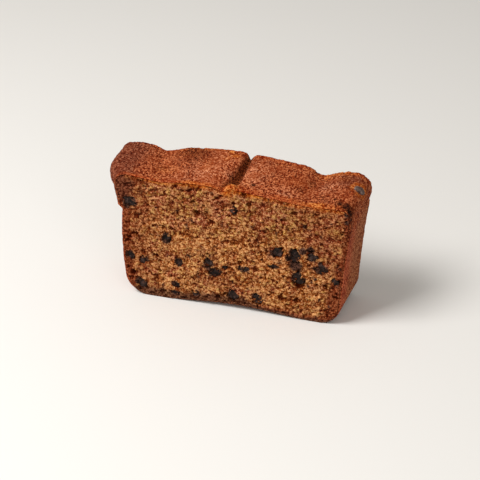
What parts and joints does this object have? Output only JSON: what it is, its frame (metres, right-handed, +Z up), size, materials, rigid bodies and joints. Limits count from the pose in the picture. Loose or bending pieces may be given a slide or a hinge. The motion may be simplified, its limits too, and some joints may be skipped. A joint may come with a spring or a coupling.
{
  "type": "banana bread slice",
  "caption": "Thick slice of banana bread cut from a tin loaf, with a cracked browned crust and dark chocolate chips in the crumb, standing on its base crust.",
  "frame": {"origin": "on the flat base crust, in the middle of the slice's width and thickness", "axes": "+X along the slice's width, to the right seen from the front cut; +Y through its thickness, away from the front cut; +Z up"},
  "size_m": [0.1246, 0.0306, 0.0699],
  "materials": {
    "bread": "open baked crumb with a browned, grainy crust",
    "chocolate": "dull to satin baked dark chocolate"
  },
  "bodies": {
    "root": {"slice": "bread", "chip_front_01": "chocolate", "chip_front_02": "chocolate", "chip_front_03": "chocolate", "chip_front_04": "chocolate", "chip_front_05": "chocolate", "chip_front_06": "chocolate", "chip_front_07": "chocolate", "chip_front_08": "chocolate", "chip_front_09": "chocolate", "chip_front_10": "chocolate", "chip_front_11": "chocolate", "chip_front_12": "chocolate", "chip_front_13": "chocolate", "chip_front_14": "chocolate", "chip_front_15": "chocolate", "chip_front_16": "chocolate", "chip_front_17": "chocolate", "chip_front_18": "chocolate", "chip_front_19": "chocolate", "chip_front_20": "chocolate", "chip_front_21": "chocolate", "chip_front_22": "chocolate", "chip_front_23": "chocolate", "chip_back_01": "chocolate", "chip_back_02": "chocolate", "chip_back_03": "chocolate", "chip_back_04": "chocolate", "chip_back_05": "chocolate", "chip_back_06": "chocolate", "chip_back_07": "chocolate", "chip_back_08": "chocolate", "chip_back_09": "chocolate", "chip_back_10": "chocolate", "chip_back_11": "chocolate", "chip_back_12": "chocolate", "chip_back_13": "chocolate", "chip_back_14": "chocolate", "chip_shoulder": "chocolate"}
  },
  "joints": []
}
